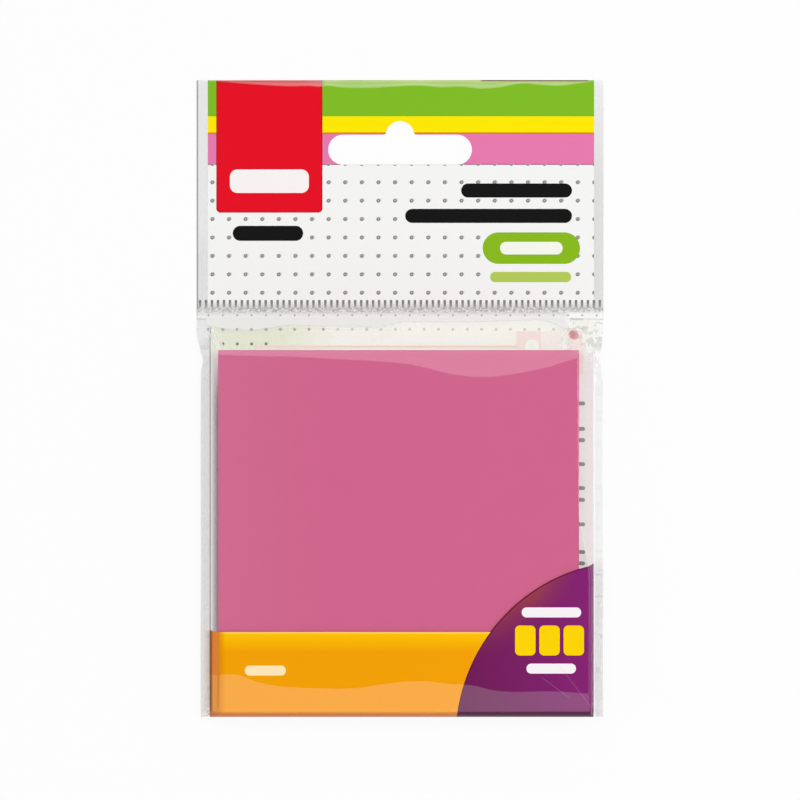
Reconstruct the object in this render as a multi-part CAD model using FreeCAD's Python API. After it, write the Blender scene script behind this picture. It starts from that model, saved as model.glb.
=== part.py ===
# A pad of sticky notes sealed in its clear hang bag, lying on its back.
# Units are millimetres. X runs across the pack, Y runs up towards the hang slot
# and Z runs up through the thickness, from the table at Z = 0.
# The origin is under the middle of the whole pack.

import FreeCAD, Part
import itertools
import math
import os

from FreeCAD import Vector

# The pad of notes
sheet_side = 76.0
sheet_count = 100
sheet_thickness = 0.08
liner_thickness = 0.12
pad_offset_x = -0.3

# The film of the bag, and how closely it follows the pad
film = 0.08
slack_round_pad = 0.1
slack_over_pad = 0.05

# The pouch: the film reaches out from the pad to a seam at about half height
seam_height = 3.4
side_weld_width = 2.0
waist_left = 1.1
waist_right = 0.3
bottom_slack = 1.45
throat_length = 6.8

# The header: two plies of printed film, folded along the top edge
header_width = 86.6
header_length = 50.4
header_gap = 0.17

# The weld that joins the pouch to the header, and its row of crimped fingers
weld_lap = 1.95
finger_length = 1.65
finger_width = 0.5
finger_pitch = 1.27

# The hang slot, with a rounded notch for a single hook
slot_width = 30.6
slot_height = 6.4
slot_drop = 14.8
notch_radius = 3.0
notch_rise = 2.9
notch_fillet = 0.6

# Heights through the thickness
two_plies = 2 * film
pad_height = sheet_count * sheet_thickness + liner_thickness
cavity_top = film + pad_height + slack_over_pad
weld_low_z = two_plies
weld_high_z = weld_low_z + film

# Places along the length, measured from the bottom fold and then centred
pack_length = (
    film + bottom_slack + slack_round_pad + sheet_side + slack_round_pad
    + throat_length + film + header_gap + header_length
)
fold_y = -pack_length / 2 + film
pad_bottom_y = fold_y + bottom_slack + slack_round_pad
pad_top_y = pad_bottom_y + sheet_side
weld_y = pad_top_y + slack_round_pad + throat_length
header_bottom_y = weld_y + film + header_gap
header_top_y = header_bottom_y + header_length

# Places across the width
header_half = header_width / 2
pad_left_x = pad_offset_x - sheet_side / 2
pad_right_x = pad_offset_x + sheet_side / 2
pouch_left_x = -header_half + waist_left
pouch_right_x = header_half - waist_right


def box_between(low, high):
    """A box from its lowest corner to its highest corner."""
    size = Vector(*high) - Vector(*low)
    return Part.makeBox(size.x, size.y, size.z, Vector(*low))


def convex_solid(corners, layer=0.0):
    """The tight convex body round some points, with a layer of even thickness added to every face.

    Each plane through three of the points that has all the others on one side cuts a block.
    """
    tiny = 1e-6
    points = [Vector(*corner) for corner in corners]
    reach = 4 * max(point.Length for point in points)
    body = Part.makeBox(2 * reach, 2 * reach, 2 * reach, Vector(-reach, -reach, -reach))
    planes_used = set()
    for first, second, third in itertools.combinations(points, 3):
        normal = (second - first).cross(third - first)
        if normal.Length < tiny:
            continue
        normal.normalize()
        heights = [(point - first).dot(normal) for point in points]
        if min(heights) < -tiny and max(heights) > tiny:
            continue
        if max(heights) > tiny:
            normal = normal.negative()
        plane = tuple(round(value, 5) + 0.0 for value in (*normal, normal.dot(first)))
        if plane in planes_used:
            continue
        planes_used.add(plane)
        half_space = Part.makeBox(2 * reach, 2 * reach, 2 * reach, Vector(-reach, -reach, -2 * reach))
        turn = FreeCAD.Rotation(Vector(0, 0, 1), normal)
        half_space.Placement = FreeCAD.Placement(first + normal * layer, turn)
        body = body.common(half_space)
    return body.Solids[0]


def make_note_sheets():
    """The glued block of sheets, cut square on all four sides."""
    low_z = film + liner_thickness
    return box_between(
        (pad_left_x, pad_bottom_y, low_z),
        (pad_right_x, pad_top_y, low_z + sheet_count * sheet_thickness),
    )


def make_backing_sheet():
    """The release liner that covers the adhesive under the last note."""
    return box_between(
        (pad_left_x, pad_bottom_y, film),
        (pad_right_x, pad_top_y, film + liner_thickness),
    )


def pouch_sections():
    """The inner corners of the pouch: at the bottom fold, at the pad's top edge and at the weld line."""
    edges_x = (pad_left_x - slack_round_pad, pad_right_x + slack_round_pad)
    edge_bottom = pad_bottom_y - slack_round_pad
    edge_top = pad_top_y + slack_round_pad
    faces_z = (film, cavity_top)
    seams_x = (pouch_left_x + side_weld_width, pouch_right_x - side_weld_width)
    seam_z = (seam_height - film, seam_height + film)
    weld_half = header_half - side_weld_width

    top_section = [(x, edge_top, z) for x, z in itertools.product(edges_x, faces_z)]
    top_section += [(x, edge_top, z) for x, z in itertools.product(seams_x, seam_z)]
    bottom_section = [(x, edge_bottom, z) for x, z in itertools.product(edges_x, faces_z)]
    bottom_section += [(x, fold_y, z) for x, z in itertools.product(seams_x, seam_z)]
    weld_line = [(x, weld_y, z) for x, z in itertools.product((-weld_half, weld_half), (film, weld_low_z))]
    return bottom_section, top_section, weld_line


def make_pouch_body(layer):
    """The closed form of the pouch, with a layer of even thickness outside the space for the pad.

    It is straight along the pad, then narrows to the weld line; the hull of the whole trims
    the corners where the two layered bodies pass each other.
    """
    bottom_section, top_section, weld_line = pouch_sections()
    along_pad = convex_solid(bottom_section + top_section, layer)
    throat = convex_solid(top_section + weld_line, layer)
    hull = convex_solid(bottom_section + top_section + weld_line, layer)
    return along_pad.fuse(throat).common(hull).removeSplitter().Solids[0]


def make_side_weld(side, outer_x):
    """The flat strip where the two films are welded along one side; it drops to the table at the header."""
    seam_x = outer_x - side * side_weld_width
    edge_top = pad_top_y + slack_round_pad
    straight = box_between(
        (min(seam_x, outer_x), fold_y - film, seam_height - film),
        (max(seam_x, outer_x), edge_top, seam_height + film),
    )
    weld_x = side * (header_half - side_weld_width)
    sloping = convex_solid(
        [(x, edge_top, seam_height + dz) for x in (seam_x, outer_x) for dz in (-film, film)]
        + [(x, weld_y, z) for x in (weld_x, side * header_half) for z in (film, weld_high_z)]
    )
    return straight.fuse(sloping)


def make_weld_strip():
    """The pouch's top edge, lapped over the header and cut into a row of crimped fingers."""
    root_y = header_bottom_y + weld_lap
    tip_y = root_y + finger_length
    finger_count = math.floor((header_width - finger_width) / finger_pitch) + 1
    first_x = -(finger_count - 1) * finger_pitch / 2
    outline = [(-header_half, weld_y), (-header_half, root_y)]
    for index in range(finger_count):
        left = first_x + index * finger_pitch - finger_width / 2
        right = left + finger_width
        outline += [(left, root_y), (left, tip_y), (right, tip_y), (right, root_y)]
    outline += [(header_half, root_y), (header_half, weld_y)]
    points = [Vector(x, y, weld_low_z) for x, y in outline]
    comb = Part.Face(Part.makePolygon(points + points[:1]))
    return comb.extrude(Vector(0, 0, film))


def make_pouch():
    """One folded film round the pad: sloped sides, a bottom fold, side welds and the crimped top."""
    welds = [
        make_side_weld(-1, pouch_left_x),
        make_side_weld(1, pouch_right_x),
        make_weld_strip(),
    ]
    return make_pouch_body(film).fuse(welds).cut(make_pouch_body(0.0)).removeSplitter()


def make_hang_slot():
    """A long round-ended slot with a round notch in its upper edge, blended in by two fillets."""
    middle_y = header_top_y - slot_drop
    top_y = middle_y + slot_height / 2
    bottom_y_of_slot = middle_y - slot_height / 2
    end_radius = slot_height / 2
    end_x = slot_width / 2 - end_radius
    notch_y = top_y + notch_rise - notch_radius
    fillet_y = top_y + notch_fillet
    reach = notch_radius + notch_fillet
    fillet_x = math.sqrt(reach ** 2 - (fillet_y - notch_y) ** 2)
    touch_x = fillet_x * notch_radius / reach
    touch_y = notch_y + (fillet_y - notch_y) * notch_radius / reach

    def point(x, y):
        return Vector(x, y, 0)

    def fillet_middle(side):
        """The middle of the small arc from the slot's straight edge up to the notch, on one side."""
        turn = (math.pi / 2 + math.atan2(fillet_y - notch_y, fillet_x)) / 2
        return point(
            side * (fillet_x - notch_fillet * math.sin(turn)),
            fillet_y - notch_fillet * math.cos(turn),
        )

    edges = [
        Part.LineSegment(point(-end_x, bottom_y_of_slot), point(end_x, bottom_y_of_slot)),
        Part.Arc(point(end_x, bottom_y_of_slot), point(end_x + end_radius, middle_y), point(end_x, top_y)),
        Part.LineSegment(point(end_x, top_y), point(fillet_x, top_y)),
        Part.Arc(point(fillet_x, top_y), fillet_middle(1), point(touch_x, touch_y)),
        Part.Arc(point(touch_x, touch_y), point(0, notch_y + notch_radius), point(-touch_x, touch_y)),
        Part.Arc(point(-touch_x, touch_y), fillet_middle(-1), point(-fillet_x, top_y)),
        Part.LineSegment(point(-fillet_x, top_y), point(-end_x, top_y)),
        Part.Arc(point(-end_x, top_y), point(-end_x - end_radius, middle_y), point(-end_x, bottom_y_of_slot)),
    ]
    outline = Part.Wire([edge.toShape() for edge in edges])
    return Part.Face(outline)


def make_header():
    """The printed header: two plies pressed flat, closed along the top by the fold, with the hang slot."""
    top_fold_y = header_top_y - film
    plies = box_between((-header_half, header_bottom_y, 0), (header_half, top_fold_y, two_plies))
    fold = Part.makeCylinder(film, header_width, Vector(-header_half, top_fold_y, film), Vector(1, 0, 0))
    slot_cutter = make_hang_slot()
    slot_cutter.translate(Vector(0, 0, -film))
    return plies.fuse(fold).cut(slot_cutter.extrude(Vector(0, 0, 2 * two_plies))).removeSplitter()


nodes = {
    "note_sheets": make_note_sheets(),
    "backing_sheet": make_backing_sheet(),
    "pouch": make_pouch(),
    "header": make_header(),
}

os.makedirs("parts", exist_ok=True)
for name, shape in nodes.items():
    solid = shape.Solids[0]
    print(name, "solids", len(shape.Solids), "valid", solid.isValid(), "mm3", round(solid.Volume, 2))
    solid.exportStep(os.path.join("parts", name + ".step"))
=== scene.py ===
# %% [markdown]
# # A pad of sticky notes in its clear hang bag
#
# The pad is a block of a hundred pink notes on a release liner. It is sealed in a bag of thin
# polypropylene film: one web is folded under the pad, welded along both sides and crimped onto
# a printed header, which has a slot for a display hook. The pack lies on its back, so the camera
# looks straight down on it.
#
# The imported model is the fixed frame. Every length in this file is in millimetres, in that
# frame, and only the mesh helper turns millimetres into Blender's metres.

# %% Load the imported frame
import math

import bpy
import numpy as np
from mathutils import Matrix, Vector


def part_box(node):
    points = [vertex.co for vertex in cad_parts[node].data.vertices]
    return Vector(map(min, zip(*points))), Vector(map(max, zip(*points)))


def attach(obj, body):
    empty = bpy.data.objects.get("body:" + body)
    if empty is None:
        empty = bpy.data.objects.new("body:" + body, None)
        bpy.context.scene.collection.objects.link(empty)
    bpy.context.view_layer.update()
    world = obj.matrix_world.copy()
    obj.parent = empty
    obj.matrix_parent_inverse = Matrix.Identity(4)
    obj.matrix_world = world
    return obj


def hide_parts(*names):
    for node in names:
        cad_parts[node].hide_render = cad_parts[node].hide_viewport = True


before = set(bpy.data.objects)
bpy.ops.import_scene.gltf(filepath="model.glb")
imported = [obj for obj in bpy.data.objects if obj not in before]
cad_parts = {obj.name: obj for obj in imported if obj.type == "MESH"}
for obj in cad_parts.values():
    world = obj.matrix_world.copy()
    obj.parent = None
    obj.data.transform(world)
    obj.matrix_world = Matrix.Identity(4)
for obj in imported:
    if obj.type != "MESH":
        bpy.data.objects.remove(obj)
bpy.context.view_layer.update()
METRES = 0.001


def corners_of(node):
    """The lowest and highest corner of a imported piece, in millimetres."""
    low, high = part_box(node)
    return np.array(low) / METRES, np.array(high) / METRES


notes_low, notes_high = corners_of("note_sheets")
pouch_low, pouch_high = corners_of("pouch")
header_low, header_high = corners_of("header")
print("notes", notes_low.round(2), notes_high.round(2))
print("pouch", pouch_low.round(2), pouch_high.round(2))
print("header", header_low.round(2), header_high.round(2))

# %% [markdown]
# ## The camera
#
# The photograph is a straight-on product shot, so the camera hangs over the pack with a long lens.
# Its frame is 170.3 mm wide where the header lies. The middle of the frame is half a millimetre
# below the middle of the pack.

# %% Hang the camera over the pack
camera_height = 708.3
frame_width = 170.3
frame_middle_y = -0.47
sensor_width = 36.0

camera_data = bpy.data.cameras.new("camera")
camera_data.sensor_width = sensor_width
camera_data.lens = sensor_width * camera_height / frame_width
camera = bpy.data.objects.new("camera", camera_data)
camera.location = (0, frame_middle_y * METRES, camera_height * METRES)
bpy.context.scene.collection.objects.link(camera)
bpy.context.scene.camera = camera
bpy.context.scene.view_settings.view_transform = "Standard"
print("lens", round(camera_data.lens, 1), "mm")

# %% [markdown]
# ## Surfaces from grids
#
# Film and paper are sheets, and a sheet is a grid: a position worked out for each pair of
# parameters. Whole arrays are worked out at once with numpy, so a fold or a wrinkle is a formula
# that can be read and changed.

# %% Helpers for shapes
def spread(stations, counts, gather=1.0):
    """Values from station to station, with count steps for each stretch.

    A step runs from 0 to 1 along its stretch. Gathered steps follow half a cosine wave instead, so
    the values lie close together at each station, where the film bends, and further apart between.
    """
    pieces = []
    for low, high, count in zip(stations[:-1], stations[1:], counts):
        step = np.arange(count) / count
        step = step + gather * (0.5 - 0.5 * np.cos(np.pi * step) - step)
        pieces.append(low + (high - low) * step)
    return np.concatenate(pieces + [np.array([stations[-1]])])


def smooth_step(low, high, value):
    """0 below low, 1 above high, and 3t^2 - 2t^3 between them."""
    t = np.clip((value - low) / (high - low), 0, 1)
    return t * t * (3 - 2 * t)


def hump(middle, width, value):
    """A bell of height 1: e to the power of minus the square of the distance over the width."""
    return np.exp(-(((value - middle) / width) ** 2))


def curve(table, x):
    """A smooth line through the (place, value) pairs of a table.

    Between two pairs it is the cubic that has the right value and slope at both of them.
    """
    places, values = np.array(table, float).T
    slopes = np.gradient(values, places)
    i = np.clip(np.searchsorted(places, x) - 1, 0, len(places) - 2)
    width = places[i + 1] - places[i]
    t = np.clip((x - places[i]) / width, 0, 1)
    start = (1 + 2 * t) * (1 - t) ** 2 * values[i] + t * (1 - t) ** 2 * width * slopes[i]
    end = t * t * (3 - 2 * t) * values[i + 1] - t * t * (1 - t) * width * slopes[i + 1]
    return start + end


def smooth_min(values, radius):
    """The lowest of several heights, rounded where two meet: minus the radius times the logarithm
    of the sum of e to the power of minus each height over the radius."""
    heights = np.stack(np.broadcast_arrays(*values))
    lowest = heights.min(axis=0)
    return lowest - radius * np.log(np.exp(-(heights - lowest) / radius).sum(axis=0))


def smooth_max(values, radius):
    """The highest of several heights, rounded in the same way."""
    return -smooth_min([-value for value in values], radius)


def ripple(x, y, wavelength, seed, waves=7):
    """Smooth wrinkles between about -1 and 1: a sum of plane sine waves in seeded directions."""
    chance = np.random.default_rng(seed)
    total = np.zeros(np.broadcast(x, y).shape)
    for turn, phase, stretch in chance.random((waves, 3)):
        angle = 2 * np.pi * turn
        length = wavelength * (0.7 + 0.9 * stretch)
        along = x * np.cos(angle) + y * np.sin(angle)
        total += np.sin(2 * np.pi * (along / length + phase))
    return total / math.sqrt(waves)


def pleats(x, y, corner, count, seed):
    """Folds that fan out from a corner: a triangle wave of the angle round the corner, with count
    folds in half a turn, as tall as the distance from the corner."""
    away_x, away_y = x - corner[0], y - corner[1]
    turn = np.arctan2(away_y, away_x) / np.pi * count + 0.3 * ripple(x, y, 5.0, seed)
    return 2 * np.abs(turn - np.round(turn)) * np.hypot(away_x, away_y)


# %% [markdown]
# One helper makes a mesh from any grid. A grid may close on itself along its columns or its rows,
# as the header does round its slot, and a Solidify modifier gives a sheet its real thickness.

# %% Helpers that make meshes
def grid_piece(name, points, closed=(False, False), keep=None, material_rows=None, marks=None):
    """A piece from an array of points with shape (rows, columns, 3).

    closed says whether rows and columns close on themselves, keep marks the cells that get a
    face, material_rows gives each row of cells its material, and marks holds named values for
    the points, which the material reads.
    """
    rows, columns = points.shape[:2]
    index = np.arange(rows * columns).reshape(rows, columns)
    if closed[0]:
        index = np.concatenate([index, index[:1]])
    if closed[1]:
        index = np.concatenate([index, index[:, :1]], axis=1)
    cells = np.stack([index[:-1, :-1], index[:-1, 1:], index[1:, 1:], index[1:, :-1]], axis=-1)
    chosen = np.ones(cells.shape[:2], bool) if keep is None else keep
    used, faces = np.unique(cells[chosen], return_inverse=True)
    mesh = bpy.data.meshes.new(name)
    mesh.from_pydata((points.reshape(-1, 3)[used] * METRES).tolist(), [], faces.reshape(-1, 4).tolist())
    mesh.polygons.foreach_set("use_smooth", np.ones(len(mesh.polygons), bool))
    if material_rows is not None:
        slots = np.broadcast_to(material_rows[:, None], cells.shape[:2])[chosen]
        mesh.polygons.foreach_set("material_index", slots.astype(np.int32))
    for mark, values in (marks or {}).items():
        layer = mesh.attributes.new(mark, "FLOAT", "POINT")
        layer.data.foreach_set("value", values.reshape(-1)[used].astype(np.float32))
    mesh.update()
    piece = bpy.data.objects.new(name, mesh)
    bpy.context.scene.collection.objects.link(piece)
    print(name, len(mesh.polygons), "faces")
    return piece


def thicken(piece, thickness):
    """Gives a sheet its real thickness, half on each side."""
    wall = piece.modifiers.new("thickness", "SOLIDIFY")
    wall.thickness = thickness * METRES
    wall.offset = 0
    wall.use_even_offset = True


def bend_angle(points):
    """How sharply a grid bends at each point: the angle, in radians, between the surface's
    normals one step before it and one step after it, along rows or columns."""
    normal = np.cross(np.gradient(points, axis=0), np.gradient(points, axis=1))
    normal /= np.linalg.norm(normal, axis=-1, keepdims=True) + 1e-12
    along = np.linalg.norm(np.gradient(normal, axis=0), axis=-1)
    across = np.linalg.norm(np.gradient(normal, axis=1), axis=-1)
    return 2 * np.maximum(along, across)


# %% [markdown]
# ## Helpers for materials
#
# Colours are written as hex values, as a printer or a paint chart gives them, and one function
# turns them into the linear values that Blender mixes. One more function adds a node. It also
# takes a node in place of a value, so a material reads as one expression inside another.

# %% Helpers for colours and nodes
def ink(code):
    """A hex colour as linear red, green, blue and alpha, by the sRGB curve."""
    parts = [int(code[i:i + 2], 16) / 255 for i in (1, 3, 5)]
    return tuple(c / 12.92 if c <= 0.04045 else ((c + 0.055) / 1.055) ** 2.4 for c in parts) + (1.0,)


def add(tree, kind, inputs=None, **settings):
    """Adds one node. inputs maps a socket to a value, to the output that feeds it, or to a node
    whose first output feeds it."""
    node = tree.nodes.new(kind)
    for name, value in settings.items():
        setattr(node, name, value)
    for socket, value in (inputs or {}).items():
        if isinstance(value, bpy.types.Node):
            value = value.outputs[0]
        if isinstance(value, bpy.types.NodeSocket):
            tree.links.new(value, node.inputs[socket])
        else:
            node.inputs[socket].default_value = value
    return node


def new_material(name):
    """An empty material, its node tree and the place on the object in millimetres."""
    material = bpy.data.materials.new(name)
    material.use_nodes = True
    tree = material.node_tree
    tree.nodes.clear()
    where = add(tree, "ShaderNodeTexCoord").outputs["Object"]
    place = add(tree, "ShaderNodeVectorMath", {0: where, "Scale": 1 / METRES}, operation="SCALE")
    return material, tree, place


def finished(material, shader):
    """The material, with the shader joined to its output."""
    add(material.node_tree, "ShaderNodeOutputMaterial", {"Surface": shader})
    return material


# %% [markdown]
# A print is a set of flat shapes, one ink over another. Each shape is a mask: 1 inside it and 0
# outside. The masks are worked out in the shader from the place on the object, so their edges stay
# sharp at any size, and a soft mask makes a fading tone.

# %% Helpers for masks
hard_edge = 0.001
far = 100.0


def overlap(tree, mask, *others):
    """1 where all the masks are 1: their product. A plain share among them thins the others."""
    for other in others:
        mask = add(tree, "ShaderNodeMath", {0: mask, 1: other}, operation="MULTIPLY")
    return mask


def zone(tree, place, **sides):
    """A soft mask over the plan: along each axis that is named, it runs from 0 at the first place
    to 1 at the second one, and the axes are multiplied."""
    axes = add(tree, "ShaderNodeSeparateXYZ", {0: place}).outputs
    return overlap(tree, *[
        add(tree, "ShaderNodeMapRange", {"Value": axes[axis], "From Min": start, "From Max": end})
        for axis, (start, end) in sides.items()
    ])


def round_zone(tree, place, middle, start, end):
    """A soft mask round a point of the plan: it runs from 0 at the first distance from the point
    to 1 at the second one."""
    flat = add(tree, "ShaderNodeVectorMath", {0: place, 1: (1, 1, 0)}, operation="MULTIPLY")
    reach = add(tree, "ShaderNodeVectorMath", {0: flat, 1: (*middle, 0)}, operation="DISTANCE")
    return add(tree, "ShaderNodeMapRange", {
        "Value": reach.outputs["Value"], "From Min": start, "From Max": end,
    })


def dot_mask(tree, place, first, pitch, radius):
    """1 inside the dots of a rectangular grid: the place is wrapped into the cell round one dot,
    where the dot is a disc."""
    offset = add(tree, "ShaderNodeVectorMath", {0: place, 1: (*first, 0)}, operation="SUBTRACT")
    half = (pitch[0] / 2, pitch[1] / 2, far)
    opposite = [-side for side in half]
    cell = add(tree, "ShaderNodeVectorMath", {0: offset, 1: half, 2: opposite}, operation="WRAP")
    return round_zone(tree, cell, (0, 0), radius, radius - hard_edge)


def box_mask(tree, place, low, high, radius=hard_edge):
    """1 inside a box with rounded corners: the distance from the smaller box whose sides lie
    one radius further in is less than that radius."""
    middle = [(a + b) / 2 for a, b in zip(low, high)] + [0.0]
    half = [(b - a) / 2 - radius for a, b in zip(low, high)] + [far]
    offset = add(tree, "ShaderNodeVectorMath", {0: place, 1: middle}, operation="SUBTRACT")
    away = add(tree, "ShaderNodeVectorMath", {0: offset}, operation="ABSOLUTE")
    past = add(tree, "ShaderNodeVectorMath", {0: away, 1: half}, operation="SUBTRACT")
    outside = add(tree, "ShaderNodeVectorMath", {0: past, 1: (0, 0, 0)}, operation="MAXIMUM")
    length = add(tree, "ShaderNodeVectorMath", {0: outside}, operation="LENGTH").outputs["Value"]
    return add(tree, "ShaderNodeMath", {0: length, 1: radius}, operation="LESS_THAN")


def streak_mask(tree, place, start, end, width):
    """1 within half a width of the straight line between two points: the place is turned and
    moved so that the line becomes a round-ended box along X."""
    along = (end[0] - start[0], end[1] - start[1])
    turned = add(tree, "ShaderNodeMapping", {
        "Vector": place,
        "Location": ((start[0] + end[0]) / 2, (start[1] + end[1]) / 2, 0),
        "Rotation": (0, 0, math.atan2(along[1], along[0])),
    }, vector_type="TEXTURE")
    half = math.hypot(*along) / 2
    return box_mask(tree, turned, (-half, -width / 2), (half, width / 2), width / 2)


def blotches(tree, place, size, start, end, detail=2.0):
    """Cloudy patches of about one size: 0 where the cloud is below the start value, and 1 where
    it is past the end value."""
    cloud = add(tree, "ShaderNodeTexNoise", {"Vector": place, "Scale": 1 / size, "Detail": detail})
    return add(tree, "ShaderNodeMapRange", {"Value": cloud, "From Min": start, "From Max": end})


def printed(tree, colour, layers):
    """Inks printed over a colour, one after another. Each layer is an ink and its mask, and a
    colour is a hex value or comes from other nodes."""
    colour = ink(colour) if isinstance(colour, str) else colour
    for over, mask in layers:
        over = ink(over) if isinstance(over, str) else over
        mix = add(tree, "ShaderNodeMix", {0: mask, 6: colour, 7: over}, data_type="RGBA")
        colour = mix.outputs[2]
    return colour


def boxes(tree, place, shapes):
    """Layers for plain printed boxes: each shape is a colour, two corners and a corner radius."""
    return [(code, box_mask(tree, place, low, high, radius)) for code, low, high, radius in shapes]


# %% [markdown]
# ## The notes
#
# The pad is a hundred sheets of coloured wood-free paper, glued near one edge and cut square in
# a guillotine. A plain block would lose the fine lines along its sides, so every sheet is here,
# as a thin closed plate that is out of line by a few hundredths of a millimetre.

# %% Stack the sheets
sheet_count = 100
sheet_misfit = 0.035
sheet_pitch = (notes_high[2] - notes_low[2]) / sheet_count
sheet_thickness = 0.93 * sheet_pitch
box_sides = np.array([
    (0, 2, 3, 1), (4, 5, 7, 6), (0, 1, 5, 4), (1, 3, 7, 5), (3, 2, 6, 7), (2, 0, 4, 6),
])


def stacked_sheets(low, high):
    """Each sheet is a box: eight corners, shifted together by a small seeded amount."""
    chance = np.random.default_rng(3)
    shift = chance.uniform(-sheet_misfit, sheet_misfit, (sheet_count, 1, 2))
    corner = np.array([(i, j, k) for k in (0, 1) for j in (0, 1) for i in (0, 1)], float)
    base_z = low[2] + np.arange(sheet_count) * sheet_pitch
    inner = high[:2] - low[:2] - 2 * sheet_misfit
    points = np.zeros((sheet_count, 8, 3))
    points[:, :, :2] = low[:2] + sheet_misfit + corner[None, :, :2] * inner + shift
    points[:, :, 2] = base_z[:, None] + corner[None, :, 2] * sheet_thickness
    faces = (np.arange(sheet_count) * 8)[:, None, None] + box_sides[None]
    mesh = bpy.data.meshes.new("sticky_notes")
    mesh.from_pydata((points.reshape(-1, 3) * METRES).tolist(), [], faces.reshape(-1, 4).tolist())
    mesh.update()
    piece = bpy.data.objects.new("sticky_notes", mesh)
    bpy.context.scene.collection.objects.link(piece)
    return piece


sticky_notes = stacked_sheets(notes_low, notes_high)
print("sticky_notes", len(sticky_notes.data.polygons), "faces")

# %% [markdown]
# Wood-free note paper is dyed in the pulp, so its cut edges have the colour of its faces. It is
# matt, with a faint cloudiness where the fibres lie thicker. Each sheet takes the dye a little
# differently, which shows only from the side.

# %% Dyed note paper
paper_colour = "#D7618F"
paper_shade = "#D05D89"
batch_share = 0.45
cloud_size = 3.6
fibre_length = 0.12
fibre_height = 0.01


def note_paper():
    """Dyed paper: the colour drifts with the cloud of fibres and from sheet to sheet."""
    material, tree, place = new_material("dyed_wood_free_paper")
    cloud = add(tree, "ShaderNodeTexNoise", {"Vector": place, "Scale": 1 / cloud_size, "Detail": 4.0})
    height = add(tree, "ShaderNodeSeparateXYZ", {0: place}).outputs["Z"]
    level = add(tree, "ShaderNodeMath", {0: height, 1: sheet_pitch}, operation="DIVIDE")
    sheet = add(tree, "ShaderNodeMath", {0: level}, operation="FLOOR")
    batch = add(tree, "ShaderNodeTexWhiteNoise", {"W": sheet}, noise_dimensions="1D")
    cloudy = overlap(tree, cloud, 1 - batch_share)
    shade = add(tree, "ShaderNodeMath", {0: batch, 1: batch_share, 2: cloudy}, operation="MULTIPLY_ADD")
    fibres = add(tree, "ShaderNodeTexNoise", {"Vector": place, "Scale": 1 / fibre_length, "Detail": 2.0})
    bump = add(tree, "ShaderNodeBump", {
        "Height": fibres, "Strength": 0.15, "Distance": fibre_height * METRES,
    })
    return finished(material, add(tree, "ShaderNodeBsdfPrincipled", {
        "Base Color": printed(tree, paper_colour, [(paper_shade, shade)]),
        "Roughness": 0.85, "Specular IOR Level": 0.25, "Normal": bump,
    }))


sticky_notes.data.materials.append(note_paper())
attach(sticky_notes, "root")
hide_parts("note_sheets")

# %% [markdown]
# The release liner keeps the adhesive of the last note clean. It is supercalendered paper, which
# is pale, dense and slightly shiny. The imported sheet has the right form, so it stays and only gets
# its material.

# %% Supercalendered release liner
liner_cloud_size = 2.0


def release_liner():
    """Pale paper with a faint cloud, shinier than the notes."""
    material, tree, place = new_material("supercalendered_liner_paper")
    cloud = add(tree, "ShaderNodeTexNoise", {"Vector": place, "Scale": 1 / liner_cloud_size, "Detail": 3.0})
    colour = printed(tree, "#F1EFE6", [("#E7E4D8", cloud)])
    return finished(material, add(tree, "ShaderNodeBsdfPrincipled", {"Base Color": colour, "Roughness": 0.35}))


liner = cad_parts["backing_sheet"]
liner.data.materials.clear()
liner.data.materials.append(release_liner())
print("backing_sheet keeps its packed form")

# %% [markdown]
# ## The folded film
#
# The pouch is one web of film. From the weld under the header it drops over the pad's top edge,
# runs down the front, folds round under the pad and comes back up behind it. Where the web lies
# flat it is a plane, and where it leaves the pad it is another plane that slants to the seam. The
# lowest of those planes is the front film and the highest of the mirrored ones is the back film,
# with their meeting lines rounded, so the whole web is a grid of heights over the plan.

# %% Sizes of the film
film = 0.08
slack = 0.1
seam_height = 3.4
side_weld = 2.0
waist = (1.1, 0.3)
bend = 0.08
header_half = header_high[0]
fold_y = pouch_low[1] + film
pad_left, pad_bottom = notes_low[:2] - slack
pad_right, pad_top = notes_high[:2] + slack
weld_y = header_low[1] - 0.25
weld_z = 2.5 * film
front_z = pouch_high[2] - film / 2
back_z = film / 2
weld_half = header_half - side_weld


def outer_edges(y):
    """The left and right outline: header wide at the weld, drawn in by the pad below it, with one
    shallow dent on each side where the throat is gathered, and a very slight wave."""
    left = -header_half + waist[0] * (1 - smooth_step(8.6, 14.6, y)) + 0.4 * hump(7.9, 1.5, y)
    right = header_half - waist[1] * (1 - smooth_step(12.5, 17.5, y)) - 0.7 * hump(8.6, 2.4, y)
    return left + 0.05 * np.sin(y / 7.0), right + 0.05 * np.sin(y / 6.0 + 1)


def rise_share(y):
    """0 along the pad, and up to 1 at the weld line."""
    return np.clip((y - pad_top) / (weld_y - pad_top), 0, 1)


def seam_lines(y):
    """Where the two films part: one weld width inside the straight outline."""
    left = -weld_half + waist[0] * (1 - rise_share(y))
    right = weld_half - waist[1] * (1 - rise_share(y))
    return left, right


def seam_heights(y):
    """The seam runs at about half the pad's height and drops to the table at the weld."""
    return seam_height + (weld_z - seam_height) * rise_share(y)


def slant(x, y, edge_x, start_z, seam_x, weld_x):
    """The plane through the pad's edge and the seam; past the pad it is tilted to meet the weld."""
    pitch = (start_z - seam_height) / (edge_x - seam_x)
    drift = (weld_z - seam_height - pitch * (weld_x - seam_x)) / (weld_y - pad_top)
    return seam_height + pitch * (x - seam_x) + drift * np.clip(y - pad_top, 0, None)


# %% [markdown]
# Film never lies quite flat. It stands a few tenths of a millimetre off the pad near its top and
# bottom edges, where the bag was filled and folded, and it crumples at the top corners, where the
# flat weld has to become a box. Those small slopes are what catches the light. Three tables say
# how far from the pad's edges the film stands highest, and where it leaves the flat weld.

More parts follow.
